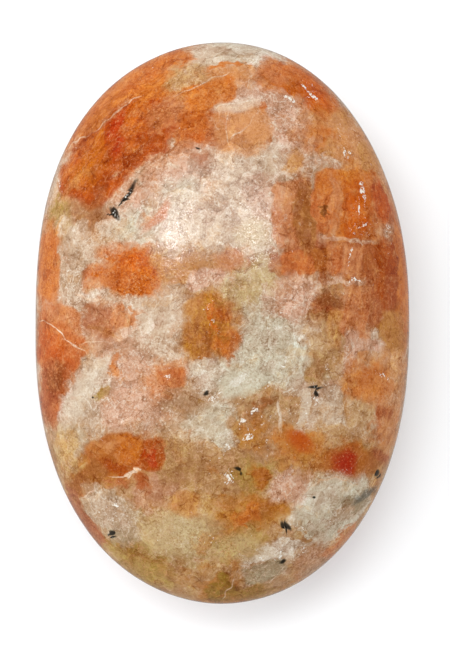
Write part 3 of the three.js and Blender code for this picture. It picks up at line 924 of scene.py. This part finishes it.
for middle, reach, turn in SPECKS.values():
    colour = lay(
        colour, block_place, middle, reach, turn, INK, SPECK_BLUR, SPECK_SHARE, False, SPECK_FRAY
    )

# Clusters of painted glints: near white painted where small fractures inside the stone catch the
# light. name: as for the specks
SPARKLES = {
    "column": ((16, 14.2), (0.9, 2.6), 0),
    "column foot": ((16.4, 11.4), (1.6, 1.2), 0),
    "right rear": ((14.4, 21.4), (1.8, 1.2), -30),
    "rear gold": ((10.1, 26.6), (1, 1), 0),
    "brick row": ((14.4, 5), (2.4, 0.9), 0),
    "blush": ((7.8, 25.4), (2, 1.4), 0),
    "lilac": ((8.5, 1.6), (2.2, 2.4), 0),
    "glassy": ((3.8, -11.6), (3, 2.6), 0),
    "under the lens": ((0.6, -9.4), (2.6, 1.6), 0),
    "star": ((0.5, -17.6), (0.8, 1.2), 0),
    "over the star": ((-0.6, -14.2), (1.6, 1.4), 0),
    "bar": ((10, -7.8), (2, 1), 0),
    "strip": ((8.4, -10.4), (2.2, 2), 0),
    "heart": ((-6.2, -5.8), (1.2, 0.6), 0),
    "amber": ((-1.2, 0.8), (0.8, 2), 0),
    "cracked brown": ((-1.4, -25), (1.6, 1), 0),
    "crumbly": ((5.8, -27), (3.6, 1), 20),
    "wedge": ((9, -23.8), (1.6, 0.8), -20),
    "pebbles": ((-13.6, -21.6), (2.4, 1.4), -40),
}
# The brightest painted glints, one by one, and the pale veins of two specks, painted as glints too
GLINTS = {
    "star": ((6.8, -4.4), (0.55, 0.25), 60),
    "star arm": ((6.4, -4.8), (0.7, 0.12), -20),
    "under the milk": ((5.1, -7.7), (0.4, 0.15), 40),
    "lens edge": ((0.2, -5.6), (0.8, 0.15), 55),
    "seed": ((-0.9, -8.5), (0.4, 0.25), 0),
    "glassy rear": ((3.8, -10.3), (0.35, 0.2), 70),
    "glassy middle": ((2.4, -11.3), (0.35, 0.25), 20),
    "glassy front": ((2.9, -12.9), (0.4, 0.25), 0),
    "glassy left": ((0.4, -13.9), (0.3, 0.2), 30),
    "cluster": ((0.5, -17.5), (0.3, 0.5), 0),
    "cluster foot": ((0.6, -18.3), (0.4, 0.2), 20),
    "strip": ((10.7, -9.4), (0.2, 0.5), 0),
    "olive": ((12.3, -5.2), (0.15, 0.5), 0),
    "front orange": ((18.7, -6.2), (0.7, 0.16), -20),
    "crumbly": ((6.2, -26.7), (0.6, 0.18), 60),
    "crumbly right": ((9.8, -26.4), (0.5, 0.18), 20),
    "plate": ((12, -22.9), (0.4, 0.12), 0),
    "pebbles": ((-12.6, -21.2), (0.3, 0.2), 0),
    "column": ((16.1, 15.3), (0.12, 0.7), 0),
    "column middle": ((15.9, 13.3), (0.12, 0.5), 10),
    "column foot": ((16.6, 11.4), (0.35, 0.15), 30),
    "leaf": ((19.5, 11.2), (0.18, 0.35), 0),
    "brick": ((14.7, 7.5), (0.12, 1.2), 0),
    "row": ((15.1, 4.9), (0.6, 0.14), 0),
    "gold": ((10.1, 26.6), (0.9, 0.12), -50),
    "blush": ((7.7, 25.8), (0.5, 0.2), -30),
    "right rear": ((14.3, 19.6), (0.5, 0.2), -60),
    "heart": ((-6.5, -5.8), (0.3, 0.14), 0),
    "rim line": ((-18.8, 16.4), (0.8, 0.1), -58),
    "leaf vein": ((-10.9, 15.1), (0.8, 0.14), 52),
    "beetle vein": ((-12.2, 12.7), (0.6, 0.14), -45),
}


CLUSTER_BLUR = 0.8


def anywhere(clusters, place, growth):
    """How much of a place lies in any one of some clusters, each grown by a share of its size."""
    most = 0
    for middle, (along, across), turn in clusters.values():
        cluster = inside(place, middle, (along * growth, across * growth), turn, CLUSTER_BLUR)
        most = cluster.maths("MAXIMUM", cluster, most)
    return most


# Painted glints: near white mixed in where fine noise peaks, a few anywhere and most in the clusters
# and glints
FLASH_SIZE = 0.27  # mm
CLUSTER_LIFT = 0.09  # how much more of the noise flashes in a cluster
GLINT_LIFT = 0.19  # and in a glint
GLINT_GROWTH = 1.4  # a glint is laid this much larger, because the noise breaks it up
shining = CLUSTER_LIFT * anywhere(SPARKLES, lump_place, 1)
shining = shining + GLINT_LIFT * anywhere(GLINTS, block_place, GLINT_GROWTH)
flashes = noise_at(drawn_out(crisp, 70, 1.5), FLASH_SIZE, 2, 0.6)
colour = mix(step(flashes + shining, 0.74, 0.79, 0, 0.95), colour, GLASS)

# The polished surface: slight waves and shallow pits. Under the crown's highlights the colour is
# painted darker in the pits' hollows and paler between them, as a painted sheen broken by the pits
SURFACE_WAVE_SIZE = 2.2  # mm
PIT_SIZE = 0.7  # mm
RELIEF = 0.12  # mm
RELIEF_STRENGTH = 0.8
WAVE_SHARE = 0.35  # of the relief
PIT_SHARE = 0.25
PITTED_SHARE = 0.15  # more for the pits in the pitted place
SMOOTHEST = 0.1  # roughness where there is no haze
DULLEST = 0.22  # and where it is thickest
REFRACTION = 1.54  # feldspar's index
GLOSS = 0.22

waves = noise_at(in_mm, SURFACE_WAVE_SIZE, 3, 0.5)
pits = noise_at(in_mm, PIT_SIZE, 4, 0.65)
pitted = inside(lump_place, (2, 14), (8, 6), 10, 0.9)
# painted: darker in the pits' hollows and paler between them, where the highlights fall
colour = tint(step(pits, 0.42, 0.34, 0, 0.7) * pitted, DULLER)
colour = mix(step(pits, 0.58, 0.68, 0, 0.35) * pitted, colour, MILK)
height = waves * WAVE_SHARE + pits * (PIT_SHARE + PITTED_SHARE * pitted)
relief = {"Strength": RELIEF_STRENGTH, "Distance": RELIEF * MM, "Height": height}
bump = add(tree, "ShaderNodeBump", None, relief, "Normal")

polish = {
    "Base Color": colour,
    "Roughness": step(haze, 0.3, 0.7, SMOOTHEST, DULLEST),
    "IOR": REFRACTION,
    "Specular IOR Level": GLOSS,
    "Normal": bump,
}
shader = add(tree, "ShaderNodeBsdfPrincipled", None, polish)
add(tree, "ShaderNodeOutputMaterial", None, {"Surface": shader})

stone.data.materials.append(feldspar)
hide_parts("sunstone")
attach(stone, "root")


# The table top: a plain pale sheet of paper that the stone lies on, and under it a grey one
# that the stone's sides mirror in its place. They are not part of the object.

FLOOR_SIZE = 4  # m
PAPER_WHITE = (0.82, 0.835, 0.85, 1)
PAPER_ROUGHNESS = 0.9
GLOW = 0.4  # of the grey sheet, as a share of full white


def sheet(name, level, settings):
    """A square sheet at a level in m, with its material."""
    form = bmesh.new()
    bmesh.ops.create_grid(form, x_segments=1, y_segments=1, size=FLOOR_SIZE / 2)
    bmesh.ops.translate(form, verts=form.verts, vec=(0, 0, level))
    mesh = bpy.data.meshes.new(name)
    form.to_mesh(mesh)
    form.free()
    thing = bpy.data.objects.new(name, mesh)
    bpy.context.scene.collection.objects.link(thing)
    material = bpy.data.materials.new(name)
    material.use_nodes = True
    for socket, value in settings.items():
        material.node_tree.nodes["Principled BSDF"].inputs[socket].default_value = value
    thing.data.materials.append(material)
    return thing


paper = sheet("paper", 0, {"Base Color": PAPER_WHITE, "Roughness": PAPER_ROUGHNESS})
paper.visible_glossy = False  # or its white would hide the colour of the stone's sides
grey = {"Base Color": (0, 0, 0, 1), "Emission Color": (1, 1, 1, 1), "Emission Strength": GLOW}
sheet("grey sheet", -MM, grey)


# The light: a white tent whose top is darker, with a broad light over the rear of the stone and
# a panel on its left, so that the shadow falls to the right and to the front. Two small windows
# show only as the highlights on the crown, and the polish doesn't mirror the tent or the panel.

TENT_TOP = (0.72, 0.93)  # height on a ball of radius 1, over which the tent darkens to its top
TENT_GLOW = (1.42, 0.5)  # of the tent's sides and of its top
STONE_MIDDLE = (0, 0, 0.02)  # m
# name: place and size in m, power in W, what it is hidden from
LIGHTS = {
    "skylight": ((-0.05, 0.22, 0.65), (0.42, 0.24), 1.6, None),
    "left window": ((-0.16, 0.17, 0.65), (0.08, 0.045), 0.8, "visible_diffuse"),
    "right window": ((0.106, 0.158, 0.65), (0.04, 0.024), 0.5, "visible_diffuse"),
    "side panel": ((-0.55, 0.2, 0.38), (0.7, 0.7), 3.2, "visible_glossy"),
}

scene = bpy.context.scene
scene.view_settings.view_transform = "Standard"

world = bpy.data.worlds.new("tent")
world.cycles_visibility.glossy = False
scene.world = world
world.use_nodes = True
world.node_tree.nodes.clear()
upwards = add(world.node_tree, "ShaderNodeTexCoord", None, None, "Generated")
upwards = add(world.node_tree, "ShaderNodeSeparateXYZ", None, {0: upwards}, 2)
tent_limits = {"Value": upwards, "From Min": TENT_TOP[0], "From Max": TENT_TOP[1]}
tent_limits |= {"To Min": TENT_GLOW[0], "To Max": TENT_GLOW[1]}
tent_light = add(world.node_tree, "ShaderNodeMapRange", None, tent_limits)
tent_light = {"Color": (1, 1, 1, 1), "Strength": tent_light}
tent = add(world.node_tree, "ShaderNodeBackground", None, tent_light)
add(world.node_tree, "ShaderNodeOutputWorld", None, {"Surface": tent})

for name, (place, size, power, hidden) in LIGHTS.items():
    lamp = bpy.data.lights.new(name, "AREA")
    lamp.shape = "RECTANGLE"
    lamp.size, lamp.size_y = size
    lamp.energy = power
    holder = bpy.data.objects.new(name, lamp)
    holder.location = place
    towards = Vector(STONE_MIDDLE) - Vector(place)
    holder.rotation_euler = towards.to_track_quat("-Z", "Y").to_euler()
    scene.collection.objects.link(holder)
    if hidden:
        setattr(holder, hidden, False)


# The camera: straight above the stone, as in the photograph, with a long lens.

PICTURE_HEIGHT = 650  # pixels
STONE_HEIGHT = 562  # pixels, the stone's length in the picture
LENS = 200  # mm
SENSOR = 36  # mm, along the picture's height
AIM = (0.3 * MM, -0.23 * MM)  # m, the place on the stone under the middle of the picture

view_height = 2 * half_length * MM * PICTURE_HEIGHT / STONE_HEIGHT
distance = view_height * LENS / SENSOR
camera = bpy.data.cameras.new("camera")
camera.lens = LENS
camera.sensor_width = SENSOR
viewer = bpy.data.objects.new("camera", camera)
viewer.location = (*AIM, widest_level * MM + distance)
scene.collection.objects.link(viewer)
scene.camera = viewer
